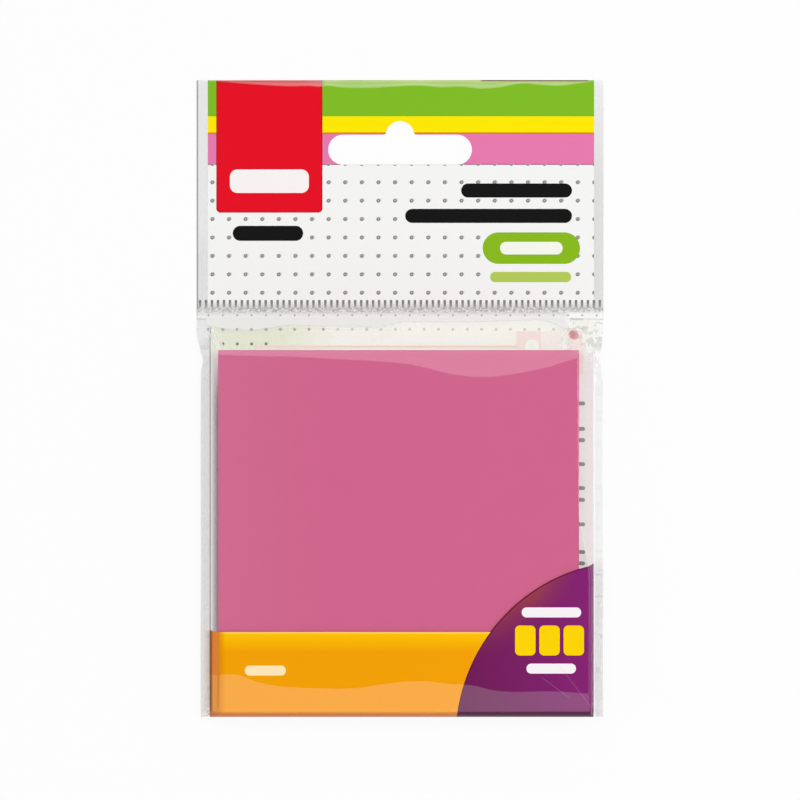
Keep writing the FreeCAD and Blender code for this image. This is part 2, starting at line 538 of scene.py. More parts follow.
# %% How the film lifts and crumples
top_ridge = [
    (-38.3, 1.2), (-33.6, 1.4), (-21, 1.75), (-13.7, 2.2), (-6.7, 2.5), (-1.7, 2.9), (2.5, 3.6),
    (6.7, 4.6), (10.9, 5.5), (15.8, 5.95), (20.6, 5.8), (24.8, 5.3), (29, 4.4), (33.2, 3.3),
    (37.6, 1.75),
]
bottom_ridge = [
    (-39.7, 7.7), (-33.2, 7.6), (-31, 6.6), (-28.4, 5.9), (-25.2, 5.3), (-20.5, 5.05), (-8, 5.05),
    (-4.2, 5.7), (-0.5, 6.2), (4.2, 6.5), (10.5, 5.8), (15.8, 5.4), (18.5, 4.6), (21, 4.25),
    (32.6, 4.2), (40.8, 3.7),
]
rise_line = [
    (-41.5, 15.5), (-38.7, 14.8), (-31.5, 14.3), (-28, 14.7), (-24.5, 15.3), (-17.5, 15.25),
    (-10.2, 15.1), (-3.2, 15.15), (-1, 15.7), (11, 16.0), (25, 16.3), (30.5, 16.35), (33, 15.6),
    (34.6, 14.7), (36.6, 14.6), (41, 15.3),
]
top_slope, bottom_slope = 0.11, 0.085
lift_fade = 18.0
loose_wave = 0.012


def lift(x, y):
    """The gap between film and pad: it rises evenly from the edge to the ridge, then dies away."""
    total = 0
    for distance, ridge, slope in (
        (pad_top - y, curve(top_ridge, x), top_slope),
        (y - pad_bottom, curve(bottom_ridge, x), bottom_slope),
    ):
        climb = slope * np.clip(distance, 0, ridge)
        total = total + climb * np.exp(-np.clip(distance - ridge, 0, None) / lift_fade)
    return total + loose_wave * (1 + ripple(x, y, 26, 5))


def crumple(x, y):
    """Pleats that fan out from the throat's corners, over soft waves across the throat."""
    throat = smooth_step(pad_top + 0.2, pad_top + 2, y) * (1 - smooth_step(weld_y - 1.2, weld_y, y))
    beside = smooth_step(pad_right + 0.2, pad_right + 1.5, x) * smooth_step(2.5, 9, y)
    right = smooth_step(31, 36, x) * np.maximum(throat, beside * (1 - smooth_step(16, 17, y)))
    left = (1 - smooth_step(-40, -36.5, x)) * throat
    soft = 0.14 * throat * ripple(x, 0.5 * y, 13, 8)
    return (
        0.13 * right * (pleats(x, y, (42.6, 17.4), 5, 11) - 0.8)
        + 0.14 * left * (pleats(x, y, (-42.4, 16.4), 5, 12) - 0.6) + soft
    )


# %% [markdown]
# The two sides of the web are now two functions of the plan. Beside the purple print the front
# film stays flat for a little longer than elsewhere, because ink stiffens it.

# %% Work out the front and back heights
stiff_reach = 2.3


def flat_edge_right(y):
    """Where the front film leaves its flat part: at the pad's edge, and further out beside the
    purple sector."""
    return pad_right + stiff_reach * (1 - smooth_step(-38, -22, y))


def front_heights(x, y):
    """The lowest of the flat front and the planes that slant away from the pad's four edges.

    At the bottom fold the film turns down along a quarter of an ellipse instead.
    """
    left, right = seam_lines(np.minimum(y, pad_top))
    drop = np.clip((pad_bottom - y) / (pad_bottom - fold_y), 0, 1)
    top = seam_height + (front_z + lift(x, y) - seam_height) * np.sqrt(1 - drop ** 2)
    throat = front_z - (y - pad_top) * (front_z - weld_z) / (curve(rise_line, x) - pad_top)
    planes = [
        top, throat,
        slant(x, y, pad_left, front_z, left, -weld_half),
        slant(x, y, flat_edge_right(y), front_z, right, weld_half),
    ]
    free = smooth_min(planes, bend) + crumple(x, y)
    return smooth_max([free, seam_heights(y) + film / 2], bend / 3)


def back_heights(x, y):
    """The highest of the flat back and the planes that slant up to the seam."""
    left, right = seam_lines(np.minimum(y, pad_top))
    bottom = seam_height - (y - fold_y) * (seam_height - back_z) / (pad_bottom - fold_y)
    planes = [
        back_z + 0 * x, bottom,
        slant(x, y, pad_left, back_z, left, -weld_half),
        slant(x, y, pad_right, back_z, right, weld_half),
    ]
    return smooth_min([smooth_max(planes, bend / 2), seam_heights(y) - film / 2], bend / 3)


def web_columns(y, counts):
    """The places across the web: outline, seam and pad edge on both sides, and two lines on the
    pad, between which the columns are wider."""
    out_left, out_right = outer_edges(y)
    left, right = seam_lines(y)
    edge = np.ones_like(y)
    stations = np.stack([
        out_left, left, pad_left * edge, -30 * edge, 28 * edge, flat_edge_right(y), right, out_right,
    ], axis=1)
    column = spread(range(8), counts, 0.5)
    cell = np.minimum(column.astype(int), 6)
    part = column - cell
    return stations[:, cell] * (1 - part) + stations[:, cell + 1] * part


# %% Fold the web
web_end = weld_y + 0.05
front_stations = [web_end, pad_top, pad_top - 7.5, pad_bottom + 9, pad_bottom, fold_y]
front_rows = spread(front_stations, [62, 30, 30, 34, 14], 0.5)
back_rows = spread([fold_y, pad_bottom, pad_top, web_end], [8, 20, 16], 0.5)
column_counts = [6, 18, 24, 46, 34, 22, 6]


def web_side(rows, heights):
    """One side of the web as points: the columns' places at each row, with their heights."""
    x = web_columns(rows, column_counts)
    y = np.repeat(rows[:, None], x.shape[1], axis=1)
    return np.stack([x, y, heights(x, y)], axis=-1)


front_points = web_side(front_rows, front_heights)
back_points = web_side(back_rows, back_heights)
fold_points = back_points[:1].copy()
fold_points[..., 1] -= 0.4 * film
fold_points[..., 2] = (front_points[-1, :, 2] + back_points[0, :, 2]) / 2
web = np.concatenate([front_points, fold_points, back_points])

# %% [markdown]
# Sharply bent polypropylene goes white along the bend, and the bends are painted white also as
# highlights, strongest near the throat's corners. Film that was pressed by the welding jaws goes
# grey. Both follow the shape, so they are marked on the points of the grid.

# %% Mark the creased film, with its painted highlight, and the pressed film
x, y = web[..., 0], web[..., 1]
on_front = np.arange(len(web))[:, None] < len(front_rows)
above_pad = smooth_step(pad_top + 0.4, pad_top + 1.2, y)
beside_pad = smooth_step(pad_right + 0.3, pad_right + 1, x) * smooth_step(4, 8, y)
near_corner = 0.25 + 0.75 * np.maximum(smooth_step(32, 35, x), 1 - smooth_step(-38.5, -36, x))
below_weld = 1 - smooth_step(weld_y - 1.0, weld_y - 0.4, y)
# White along sharp bends: real stress whitening and a painted highlight.
crease_and_highlight = (
    0.8 * smooth_step(0.16, 0.8, bend_angle(web)) * np.clip(above_pad + beside_pad, 0, 1)
    * on_front * near_corner * below_weld
)
past_rise = y - curve(rise_line, x)
pressed = smooth_step(-0.1, 0.25, past_rise) * on_front * (np.abs(x) < weld_half)

front_slot, back_slot = 0, 1
cell_rows = np.where(np.arange(len(web) - 1) < len(front_rows), front_slot, back_slot)
folded_film = grid_piece(
    "folded_film", web[:, ::-1], material_rows=cell_rows,
    marks={"crease_and_highlight": crease_and_highlight[:, ::-1], "pressed": pressed[:, ::-1]},
)
thicken(folded_film, film)

# %% [markdown]
# The film is biaxially stretched polypropylene: clear, hard and very glossy, printed on the side
# that faces the pad. Each face mirrors a few percent of what it meets head-on, and the rest goes
# through. Ink makes it opaque, or tints the light where it is thin, with the same gloss on top.
# The film is too wavy to mirror fully at a grazing angle, so the share there is kept to a quarter.

# %% Clear and printed polypropylene
gloss_roughness = 0.035
clear_share, ink_share, grazing_share = 0.02, 0.027, 0.25
wave_pitch, wave_depth = 7.0, 0.006


def film_bump(tree, place, pitch, depth):
    """Fine unevenness of the film, as a bump with a depth in millimetres."""
    waves = add(tree, "ShaderNodeTexNoise", {"Vector": place, "Scale": 1 / pitch, "Detail": 2.0})
    return add(tree, "ShaderNodeBump", {"Height": waves, "Strength": 1.0, "Distance": depth * METRES})


def glossed(tree, base, head_on, roughness, bump):
    """A clear glossy skin over a base. The share it mirrors rises from the head-on value to the
    grazing value by the fifth power of one minus the cosine (Schlick's formula)."""
    facing = add(tree, "ShaderNodeLayerWeight", {"Blend": 0.5}).outputs["Facing"]
    steep = add(tree, "ShaderNodeMath", {0: facing, 1: 5.0}, operation="POWER")
    rise = {0: steep, 1: grazing_share - head_on, 2: head_on}
    share = add(tree, "ShaderNodeMath", rise, operation="MULTIPLY_ADD")
    mirror = add(tree, "ShaderNodeBsdfGlossy", {
        "Color": (1, 1, 1, 1), "Roughness": roughness, "Normal": bump,
    })
    return add(tree, "ShaderNodeMixShader", {0: share, 1: base, 2: mirror})


def polypropylene(tree, place, frost, colour, mask, opacity=1.0):
    """Clear film, greyed by its frost, with ink where the mask is 1 and gloss over both. A frost is
    a colour and the share of the view that it hides. Ink that is not opaque lets the rest of the
    light through in its own colour."""
    through = add(tree, "ShaderNodeBsdfTransparent")
    milk = add(tree, "ShaderNodeBsdfDiffuse", {"Color": frost[0]})
    hazed = add(tree, "ShaderNodeMixShader", {0: frost[1], 1: through, 2: milk})
    tint = add(tree, "ShaderNodeBsdfTransparent", {"Color": colour})
    body = add(tree, "ShaderNodeBsdfDiffuse", {"Color": colour})
    inked = add(tree, "ShaderNodeMixShader", {0: opacity, 1: tint, 2: body})
    bump = film_bump(tree, place, wave_pitch, wave_depth)
    return add(tree, "ShaderNodeMixShader", {
        0: mask,
        1: glossed(tree, hazed, clear_share, gloss_roughness, bump),
        2: glossed(tree, inked, ink_share, gloss_roughness, bump),
    })


def frosted(tree, frost, layers):
    """Frost laid over a frost: each layer is a colour, the share that it hides, and its mask."""
    colour, share = frost
    for code, hidden, mask in layers:
        colour = printed(tree, colour, [(code, mask)])
        share = add(tree, "ShaderNodeMix", {0: mask, 2: share, 3: hidden}, data_type="FLOAT")
    return colour, share


# %% [markdown]
# The front is clear, with an amber band along the bottom and a purple sector in the corner. Over
# the pad the inks look as they were mixed. Past the pad's edge both inks are painted darker as shade
# from the empty gap behind them, and at the fold they are painted darker as shade where they turn
# away from the light. The amber is also painted darker as shade towards the pad's left edge and at
# the print's left edge, and paler low down past the pad as a painted reflection.

# %% Inks on the front of the pouch
print_left, print_right = -40.3, 41.0
band_top = -49.25
# Below this line the amber past the pad is painted paler, as a reflection.
painted_reflection_top = -58.5
sector_middle = (48.8, -71.4)
sector_radius = 37.1
sector_off_pad = pad_right + stiff_reach


def band_ink(tree, place):
    """Amber, yellower along its top edge; painted darker as shade towards the pad's left edge, past the pad,
    at the print's left edge and at the fold, and paler low down past the pad as a painted reflection.
    """
    # Past the pad the amber is painted darker as shade, and paler near the bottom as a reflection.
    past_pad_shade_and_reflection = printed(tree, "#F48600", [
        ("#F8A040", zone(tree, place, Y=(painted_reflection_top + 0.2, painted_reflection_top - 0.2))),
    ])
    return printed(tree, "#F3A000", [
        ("#FFC600", zone(tree, place, Y=(band_top - 4.2, band_top))),
        ("#FFD060", zone(tree, place, Y=(band_top - 0.35, band_top - 0.3))),
        # Painted shade towards the pad's left edge.
        ("#DE8600", zone(tree, place, X=(pad_left + 1.8, pad_left + 0.2))),
        (past_pad_shade_and_reflection, zone(tree, place, X=(pad_left + 0.1, pad_left - 0.15))),
        # Painted shade at the print's left edge, where the film slopes down to the seam.
        ("#A05018", zone(tree, place, X=(print_left + 0.75, print_left + 0.35))),
        # Painted shade at the fold.
        ("#D07C48", zone(tree, place, Y=(pad_bottom + 0.1, pad_bottom - 0.5))),
    ])


def sector_ink(tree, place):
    """Purple, redder inside its upper rim and darker along its edge, and painted darker as shade past the
    pad's edge and at the fold.
    """
    rim = round_zone(tree, place, sector_middle, sector_radius - 6.0, sector_radius - 0.5)
    upper = zone(tree, place, X=(37.0, 29.0), Y=(-54.0, -42.0))
    edge = round_zone(tree, place, sector_middle, sector_radius - 0.3, sector_radius - 0.2)
    return printed(tree, "#6C1B52", [
        ("#852272", zone(tree, place, X=(12.0, 40.0))),
        # Painted shade: darker purple past the pad's edge.
        ("#760061", zone(tree, place, X=(sector_off_pad - 0.1, sector_off_pad + 0.2))),
        ("#9C4046", overlap(tree, rim, upper, 0.8)),
        ("#6A1030", edge),
        # Painted shade at the fold.
        ("#50143E", zone(tree, place, Y=(pad_bottom + 0.35, pad_bottom))),
    ])


# %% [markdown]
# Clear film shows its history as frost. The welds are grey, the film that the jaws pressed is
# milky, and sharp creases are white. Light and shade are painted into the same layers: the left
# weld is painted greyer than the right as shade, the left seam has a painted dark line and the right
# seam a painted white one, creases and the right end of the pressed film are painted white also as
# highlights, the left weld beside the band has a painted amber reflection, and the gathered corner
# at the top right has painted white and grey patches for its lit and shaded pleats. Each of these is
# one layer with its colour, the share of the view that it hides, and its mask.

# %% Frost on the clear film
# White streaks along creases: partly stress whitening, partly painted highlight where the creases catch the
# light.
crease_highlight_strokes = [
    ("#FFFFFF", 0.6, (-40.0, 14.6), (-38.9, 10.6), 0.5),
    ("#FFFFFF", 0.5, (-39.4, 14.0), (-37.0, 10.4), 0.35),
    ("#FFFFFF", 0.85, (35.2, 17.2), (36.6, 14.8), 0.9),
    ("#FFFFFF", 0.8, (37.4, 14.6), (38.8, 14.2), 0.4),
]
back_dot_first = (-37.7, 14.57)
back_dot_pitch = (3.06, 3.1)
one_row = (back_dot_pitch[0], 5 * far)
shade_patch_size, speck_size = 1 / 0.55, 1 / 3.2


def side_frost(tree, place):
    """Almost clear, a little milkier towards the left, and painted grey in the left weld as shade, where the
    light is dim.
    """
    return frosted(tree, ("#F4F4F4", 0.024), [
        ("#F4F4F4", 0.011, zone(tree, place, X=(-36.0, -16.0))),
        # Painted shade: the left weld is greyer than the right one, where the light is dim.
        ("#C8C8C8", 0.15, box_mask(tree, place, (-far, -far), (print_left, far))),
    ])


def front_frost(tree, place):
    """The front film's frost and painted light: the right weld, the left weld with a painted amber reflection,
    a painted shade line and a painted highlight line along the edges of the print, the pressed film with a
    painted highlight at its right end, creased film that is white partly from stress and partly as a painted
    highlight, painted highlight and shade in the gathered corner, painted highlight streaks along creases, and
    the crushed corner at the bottom left."""
    pressed_film = add(tree, "ShaderNodeAttribute", attribute_name="pressed").outputs["Fac"]
    crease_and_highlight_mark = add(tree, "ShaderNodeAttribute", attribute_name="crease_and_highlight").outputs["Fac"]
    left_weld = box_mask(tree, place, (-far, -far), (print_left, far))
    beside_band = box_mask(tree, place, (-far, -far), (print_left, band_top))
    gathered = zone(tree, place, X=(35.6, 36.6), Y=(8.5, 11.0))
    shade_patches = blotches(tree, place, shade_patch_size, 0.5, 0.56)
    dots = dot_mask(tree, place, back_dot_first, one_row, 0.3)
    layers = [
        ("#D8D8D8", 0.08, zone(tree, place, X=(41.1, 41.3))),
        ("#C6BEC3", 0.24, zone(tree, place, X=(41.2, 41.5), Y=(-33.5, -36.5))),
        # Painted reflection: the amber band glows into the left weld beside it.
        ("#B07848", 0.3, overlap(tree, beside_band, zone(tree, place, X=(print_left - 1.4, print_left)))),
        ("#FFFFFF", 0.12, overlap(tree, left_weld, zone(tree, place, Y=(10.3, 12.5)))),
        # Painted shade and highlight on the seams: a dark line along the left one, which the light misses, and
        # a white line along the right one.
        ("#808080", 0.5, box_mask(tree, place, (-40.32, band_top), (-40.12, 15.0))),
        ("#FFFFFF", 0.7, box_mask(tree, place, (print_right, -67.0), (print_right + 0.22, 6.0))),
        ("#F4F4F1", 0.9, pressed_film),
        # Painted highlight: the right end of the pressed film is white.
        ("#FFFFFF", 1.0, overlap(tree, pressed_film, zone(tree, place, X=(35.4, 36.2)))),
        # White along bends: stress whitening and painted highlight.
        ("#FFFFFF", 0.7, crease_and_highlight_mark),
        # Painted highlight and painted shade on the gathered corner's pleats: a white veil and grey patches.
        ("#FFFFFF", 0.08, gathered),
        ("#C8C8C6", 0.25, overlap(tree, gathered, shade_patches)),
        ("#B6B8AA", 0.9, overlap(tree, dots, zone(tree, place, X=(-10.0, -16.0)))),
    ]
    for code, share, start, end, width in crease_highlight_strokes:
        layers.append((code, share, streak_mask(tree, place, start, end, width)))
    crushed = box_mask(tree, place, (-43.5, -68.0), (print_left, -65.6))
    specks = blotches(tree, place, speck_size, 0.45, 0.55)
    layers.append(("#F4F4F4", 0.7, overlap(tree, crushed, specks)))
    return frosted(tree, side_frost(tree, place), layers)


# %% Print the front of the pouch
front_shapes = [
    ("#F8F2F5", (25.6, -46.2), (38.1, -44.1), 1.0),
    ("#F8F2F5", (26.6, -58.0), (37.0, -55.9), 1.0),
    ("#FFE6B8", (-32.6, -58.4), (-24.0, -56.3), 1.0),
]
front_shapes += [("#FBD300", (left, -54.2), (left + 4.3, -47.9), 1.0) for left in (24.2, 29.3, 34.4)]
scratches = [((29.8, -58.8), (35.8, -63.2)), ((33.4, -56.2), (40.6, -65.6))]


def front_film():
    """The front of the pouch: the band and the sector, plain shapes on them, and two scratches."""
    material, tree, place = new_material("printed_polypropylene_front")
    band = box_mask(tree, place, (print_left, -far), (print_right, band_top))
    disc = round_zone(tree, place, sector_middle, sector_radius, sector_radius - hard_edge)
    sector = overlap(tree, disc, box_mask(tree, place, (0.0, -far), (print_right, 0.0)))
    colour = printed(tree, band_ink(tree, place), [(sector_ink(tree, place), sector)])
    colour = printed(tree, colour, boxes(tree, place, front_shapes))
    colour = printed(tree, colour, [
        ("#C9A8C6", overlap(tree, streak_mask(tree, place, start, end, 0.12), 0.18))
        for start, end in scratches
    ])
    either = add(tree, "ShaderNodeMath", {0: band, 1: sector}, operation="MAXIMUM")
    return finished(material, polypropylene(tree, place, front_frost(tree, place), colour, either))


# %% [markdown]
# The back carries thin white ink that lets some light through, so the clear gaps beside the pad
# look milky. Behind the throat there are pale fields and small dots, and lines of plain bars run
# down the right-hand edge.

# %% Print the back of the pouch
back_opacity, throat_opacity = 0.18, 0.03
bar_rows = (-1.2, -6.6, -9.0, -14.1, -19.2, -21.7, -26.9, -32.8, -35.2, -41.0, -43.4, -49.0)
bar_lengths = (12.0, 70.0, 58.0, 66.0, 74.0)
bar_end, bar_half = 39.3, 0.42
back_shapes = [
    ("#FDF1EA", (-31.0, 10.5), (25.0, 11.2), 0.3),
    ("#FFF4F2", (24.7, 10.4), (30.0, 14.2), 0.2),
    ("#FFFAF8", (30.0, 10.4), (34.6, 14.2), 0.2),
    ("#FFFFFA", (26.6, 9.4), (29.6, 12.4), 1.4),
    ("#FFF5F2", (35.6, 4.8), (38.9, 14.3), 0.6),
    ("#F8C4C8", (36.2, 12.4), (38.0, 14.2), 0.7),
    ("#EE9CAC", (36.0, 12.7), (37.3, 14.3), 0.6),
]
for row, middle in enumerate(bar_rows):
    start = bar_end - bar_lengths[row % len(bar_lengths)]
    back_shapes.append(("#BCC0C0", (start, middle - bar_half), (bar_end, middle + bar_half), 0.4))


def back_film():
    """The back of the pouch: white ink, pale fields behind the throat, a shadow beside the pad,
    plain bars, and two rows of dots, of which the lower one is short."""
    material, tree, place = new_material("printed_polypropylene_back")
    throat = zone(tree, place, Y=(9.0, 10.5))
    left_gap = box_mask(tree, place, (-far, -far), (pad_left + 0.5, far))
    shadow = zone(tree, place, X=(print_left + 0.4, pad_left - 0.1), Y=(pad_top, -1.0))
    colour = printed(tree, "#FDFDFC", [
        ("#FFFEFA", throat),
        ("#F7F9ED", overlap(tree, throat, zone(tree, place, X=(-13.0, -25.0)))),
        ("#A8989C", overlap(tree, shadow, left_gap)),
    ])
    colour = printed(tree, colour, boxes(tree, place, back_shapes))
    dots = dot_mask(tree, place, back_dot_first, back_dot_pitch, 0.33)
    dot_ink = printed(tree, "#B0B2A2", [("#EEEEE6", zone(tree, place, X=(-27.0, -22.0)))])
    colour = printed(tree, colour, [
        (dot_ink, overlap(tree, dots, box_mask(tree, place, (-far, low), (right, far))))
        for low, right in ((10.6, -27.0), (13.0, far))
    ])
    inked = box_mask(tree, place, (print_left, -64.0), (print_right, far))
    opacity = {0: throat, 2: back_opacity, 3: throat_opacity}
    opacity = add(tree, "ShaderNodeMix", opacity, data_type="FLOAT")
    return finished(material, polypropylene(tree, place, side_frost(tree, place), colour, inked, opacity))


folded_film.data.materials.append(front_film())
folded_film.data.materials.append(back_film())
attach(folded_film, "root")
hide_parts("pouch")
print("folded_film", len(folded_film.data.materials), "materials")

# %% [markdown]
# ## The crimped weld
#
# Hot ribbed jaws press the pouch's top edge onto the header. The jaws leave a row of fingers, one
# every 1.27 mm, over a crushed band that has gone grey. The strip is a grid of narrow cells, and
# above the root line only every other cell keeps its face.

# %% Press the weld
finger_pitch = 1.27
finger_width = 0.5
finger_length = 1.65
root_y = header_low[1] + 1.95
strip_bottom = weld_y - 0.3


def crimp_strip():
    """Columns stand at both sides of each finger; rows run up from the throat to the finger tips."""
    count = int((2 * header_half - finger_width) // finger_pitch) + 1
    middles = (np.arange(count) - (count - 1) / 2) * finger_pitch
    sides = np.sort(np.concatenate([middles - finger_width / 2, middles + finger_width / 2]))
    x = np.concatenate([[-header_half], sides, [header_half]])
    y = spread([strip_bottom, root_y, root_y + finger_length], [6, 2], 0.0)
    grid_x, grid_y = np.meshgrid(x, y)
    points = np.stack([grid_x, grid_y, np.full_like(grid_x, weld_z)], axis=-1)
    cell_x = (x[:-1] + x[1:]) / 2
    in_finger = np.abs(cell_x[:, None] - middles[None]).min(axis=1) < finger_width / 2
    above = (y[:-1] + y[1:]) / 2 > root_y
    piece = grid_piece("crimped_weld", points, keep=in_finger[None, :] | ~above[:, None])
    thicken(piece, film)
    return piece


crimped_weld = crimp_strip()

# %% [markdown]
# Crushed film is matt and grey, because it is full of tiny folds that scatter the light. The folds
# leave small dark and bright marks along the band. The fingers are painted darkest, and darker still
# at their tips, as the shade of the ribs that the jaws pressed in, and the right-hand corner is
# painted white as a highlight.

# %% Crushed polypropylene
crushed_opacity = 0.9
crushed_roughness = 0.15
fold_pitch, fold_depth = 0.35, 0.03
mark_size = 1 / 2.4


def crushed_film():
    """Pale grey, darker towards the fingers, with dark and bright marks, a painted highlight in the right-hand
    corner, one row of dots, and fingers painted grey as shade, darkest at their tips."""
    material, tree, place = new_material("crushed_polypropylene")
    flattened = add(tree, "ShaderNodeVectorMath", {0: place, 1: (1.0, 1.5, 1.0)}, operation="MULTIPLY")
    band = zone(tree, place, Y=(17.9, 18.4))
    fingers = zone(tree, place, Y=(root_y - 0.1, root_y + 0.3))
    tips = zone(tree, place, Y=(root_y + 0.3, root_y + 1.2))
    colour = printed(tree, "#F6F6F3", [
        ("#E6E6E4", zone(tree, place, Y=(17.4, 18.1))),
        ("#CECECC", zone(tree, place, Y=(18.3, root_y))),
        ("#AEAEAC", overlap(tree, blotches(tree, flattened, mark_size, 0.48, 0.62, 3.0), band)),
        ("#FBFBFA", overlap(tree, blotches(tree, flattened, mark_size, 0.42, 0.36, 3.0), band)),
        # Painted highlight in the right-hand corner.
        ("#FFFFFF", zone(tree, place, X=(35.4, 36.2), Y=(18.4, 17.8))),
        ("#B8B8B6", dot_mask(tree, place, (-37.7, 17.55), one_row, 0.22)),
        # Painted shade on the fingers, darkest at the tips.
        (printed(tree, "#A4A4A2", [("#7C7C7B", tips)]), overlap(tree, fingers, 0.95)),
    ])
    through = add(tree, "ShaderNodeBsdfTransparent")
    matt = add(tree, "ShaderNodeBsdfDiffuse", {"Color": colour})
    base = add(tree, "ShaderNodeMixShader", {0: crushed_opacity, 1: through, 2: matt})
    bump = film_bump(tree, place, fold_pitch, fold_depth)
    return finished(material, glossed(tree, base, clear_share, crushed_roughness, bump))


crimped_weld.data.materials.append(crushed_film())
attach(crimped_weld, "root")
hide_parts("pouch")

# %% [markdown]
# ## The header
#
# The header is a printed film folded over at the top, so it has a front ply and a back ply. Its
# slot makes it a ring: rows of points run from the slot's outline out to the header's outline on
# the front, and back again behind. Near the top the plies part a little, where the fold springs
# open.

# %% Outline of the hang slot
slot_width = 30.6
slot_height = 6.4
slot_drop = 14.8
notch_radius = 3.0
notch_rise = 2.9
notch_fillet = 0.6
slot_y = header_high[1] - slot_drop


def arc(middle, radius, start, end, count=40):
    """Points on an arc, from its start angle to its end angle in degrees."""
    angle = np.radians(np.linspace(start, end, count))
    return np.stack([middle[0] + radius * np.cos(angle), middle[1] + radius * np.sin(angle)], axis=1)


def resampled(points, count):
    """A line of points divided into equal steps along its length, without its last point."""
    step = np.linalg.norm(np.diff(points, axis=0), axis=1)
    length = np.concatenate([[0], np.cumsum(step)])
    at = np.linspace(0, length[-1], count, endpoint=False)
    return np.stack([np.interp(at, length, points[:, i]) for i in (0, 1)], axis=1)


def slot_outline(counts):
    """The slot, anticlockwise from its lower left: bottom, right end, top with the notch, left end."""
    end = slot_height / 2
    end_x = slot_width / 2 - end
    top, bottom = slot_y + end, slot_y - end
    notch_y = top + notch_rise - notch_radius
    reach = notch_radius + notch_fillet
    fillet_y = top + notch_fillet
    fillet_x = math.sqrt(reach ** 2 - (fillet_y - notch_y) ** 2)
    tilt = math.degrees(math.atan2(fillet_y - notch_y, fillet_x))
    right_half = np.concatenate([
        [[end_x, top]],
        arc((fillet_x, fillet_y), notch_fillet, -90, -180 + tilt, 12),
        arc((0, notch_y), notch_radius, tilt, 90, 24),
    ])
    left_half = right_half[::-1] * [-1, 1]
    sides = [
        np.array([[-end_x, bottom], [end_x, bottom]]),
        arc((end_x, slot_y), end, -90, 90),
        np.concatenate([right_half, left_half]),
        arc((-end_x, slot_y), end, 90, 270),
    ]
    return np.concatenate([resampled(side, count) for side, count in zip(sides, counts)])


def header_outline(counts):
    """The header's rectangle, with the same number of points on each side as the slot's outline."""
    left, bottom = header_low[:2]
    right, top = header_high[:2]
    corners = np.array([[left, bottom], [right, bottom], [right, top], [left, top], [left, bottom]])
    sides = [corners[i:i + 2] for i in range(4)]
    return np.concatenate([resampled(side, count) for side, count in zip(sides, counts)])


# %% [markdown]
# Folded film springs open, so the front ply bulges just below the fold and catches the light there.
# A table says how far below the fold the bulge ends. On the bulge a highlight is also painted, in
# fine bright and dark lines that follow the same curve, so the painted highlight is marked on the
# grid's points.

# %% Fold the header
fold_ridge = [
    (-43, 0.2), (-39.2, 0.2), (-34, 0.6), (-28.7, 1.0), (-23.4, 1.25), (-19.2, 1.2), (-17, 1.35),
    (-15.6, 1.2), (-12.8, 1.5), (-7.5, 1.64), (-2.1, 1.4), (4.3, 1.17), (8.5, 1.5),
    (12.8, 1.38), (17.5, 1.8), (21.3, 1.5), (24.5, 0.85), (26.6, 0.68), (29.8, 0.96), (34, 1.17),
    (37.3, 0.75), (40.9, 0.3), (43, 0.25),
]
bulge_share = 0.18
bulge_fade = 7.0
header_loft = 0.14


def header_wave(x, y):
    """The header lifts off the table by a tenth of a millimetre or two, but not at the weld."""
    free = smooth_step(header_low[1] + 4, header_low[1] + 22, y)
    return header_loft * free * (1 + 0.6 * ripple(x, y, 60, 21))


def fold_bulge(below, ridge):
    """The front ply stands off the back ply below the fold: it climbs to its ridge and then sinks
    back slowly."""
    climb = np.clip(below / ridge, 0, 1) ** 0.7
    return bulge_share * ridge * climb * np.exp(-np.clip(below - ridge, 0, None) / bulge_fade)


def painted_fold_highlight(x, below, ridge):
    """The painted highlight in the bulge: a bright, a dark and a fainter bright line between the fold and the
    ridge. None lies on the dark line that edges the right half of the fold."""
    share = below / ridge
    lines = 1 + 0.6 * hump(0.15, 0.12, share) - 0.45 * hump(0.42, 0.1, share)
    lines = lines + 0.15 * hump(0.7, 0.2, share)
    wander = 0.5 + 0.5 * ripple(x, 0 * x, 14, 31)
    fold_highlight = 0.26 * smooth_step(ridge + 0.08, ridge - 0.2, below) * lines * (0.8 + 0.4 * wander)
    return fold_highlight * (1 - smooth_step(17.0, 17.4, x) * (1 - smooth_step(0.2, 0.3, below)))


def header_plies():
    """Front rows go from the slot to the outline and back rows return, as one closed ring."""
    counts = (140, 56, 170, 56)
    inner, outer = slot_outline(counts), header_outline(counts)
    part = spread([0, 1], [56])[:, None, None]
    plan = inner[None] * (1 - part) + outer[None] * part
    x, y = plan[..., 0], plan[..., 1]
    below, ridge = header_high[1] - y, curve(fold_ridge, x)
    back = header_wave(x, y)
    front = back + 2 * film + fold_bulge(below, ridge)
    ring = np.concatenate([
        np.stack([x, y, front], axis=-1), np.stack([x, y, back], axis=-1)[::-1],
    ])
    fold_highlight = painted_fold_highlight(x, below, ridge)
    marks = {"crease_and_highlight": np.concatenate([fold_highlight, 0 * fold_highlight])}
    slots = np.concatenate([np.zeros(len(front)), np.ones(len(back))])
    return grid_piece("header_plies", ring, (True, True), material_rows=slots, marks=marks)


header = header_plies()

# %% [markdown]
# The header's film carries white ink right across, apart from the two weld margins. On top of it
# are coloured stripes, a grid of grey dots, a red tab, a green pill and plain bars. The small dots
# are rings, each with a faint shadow from the back ply.

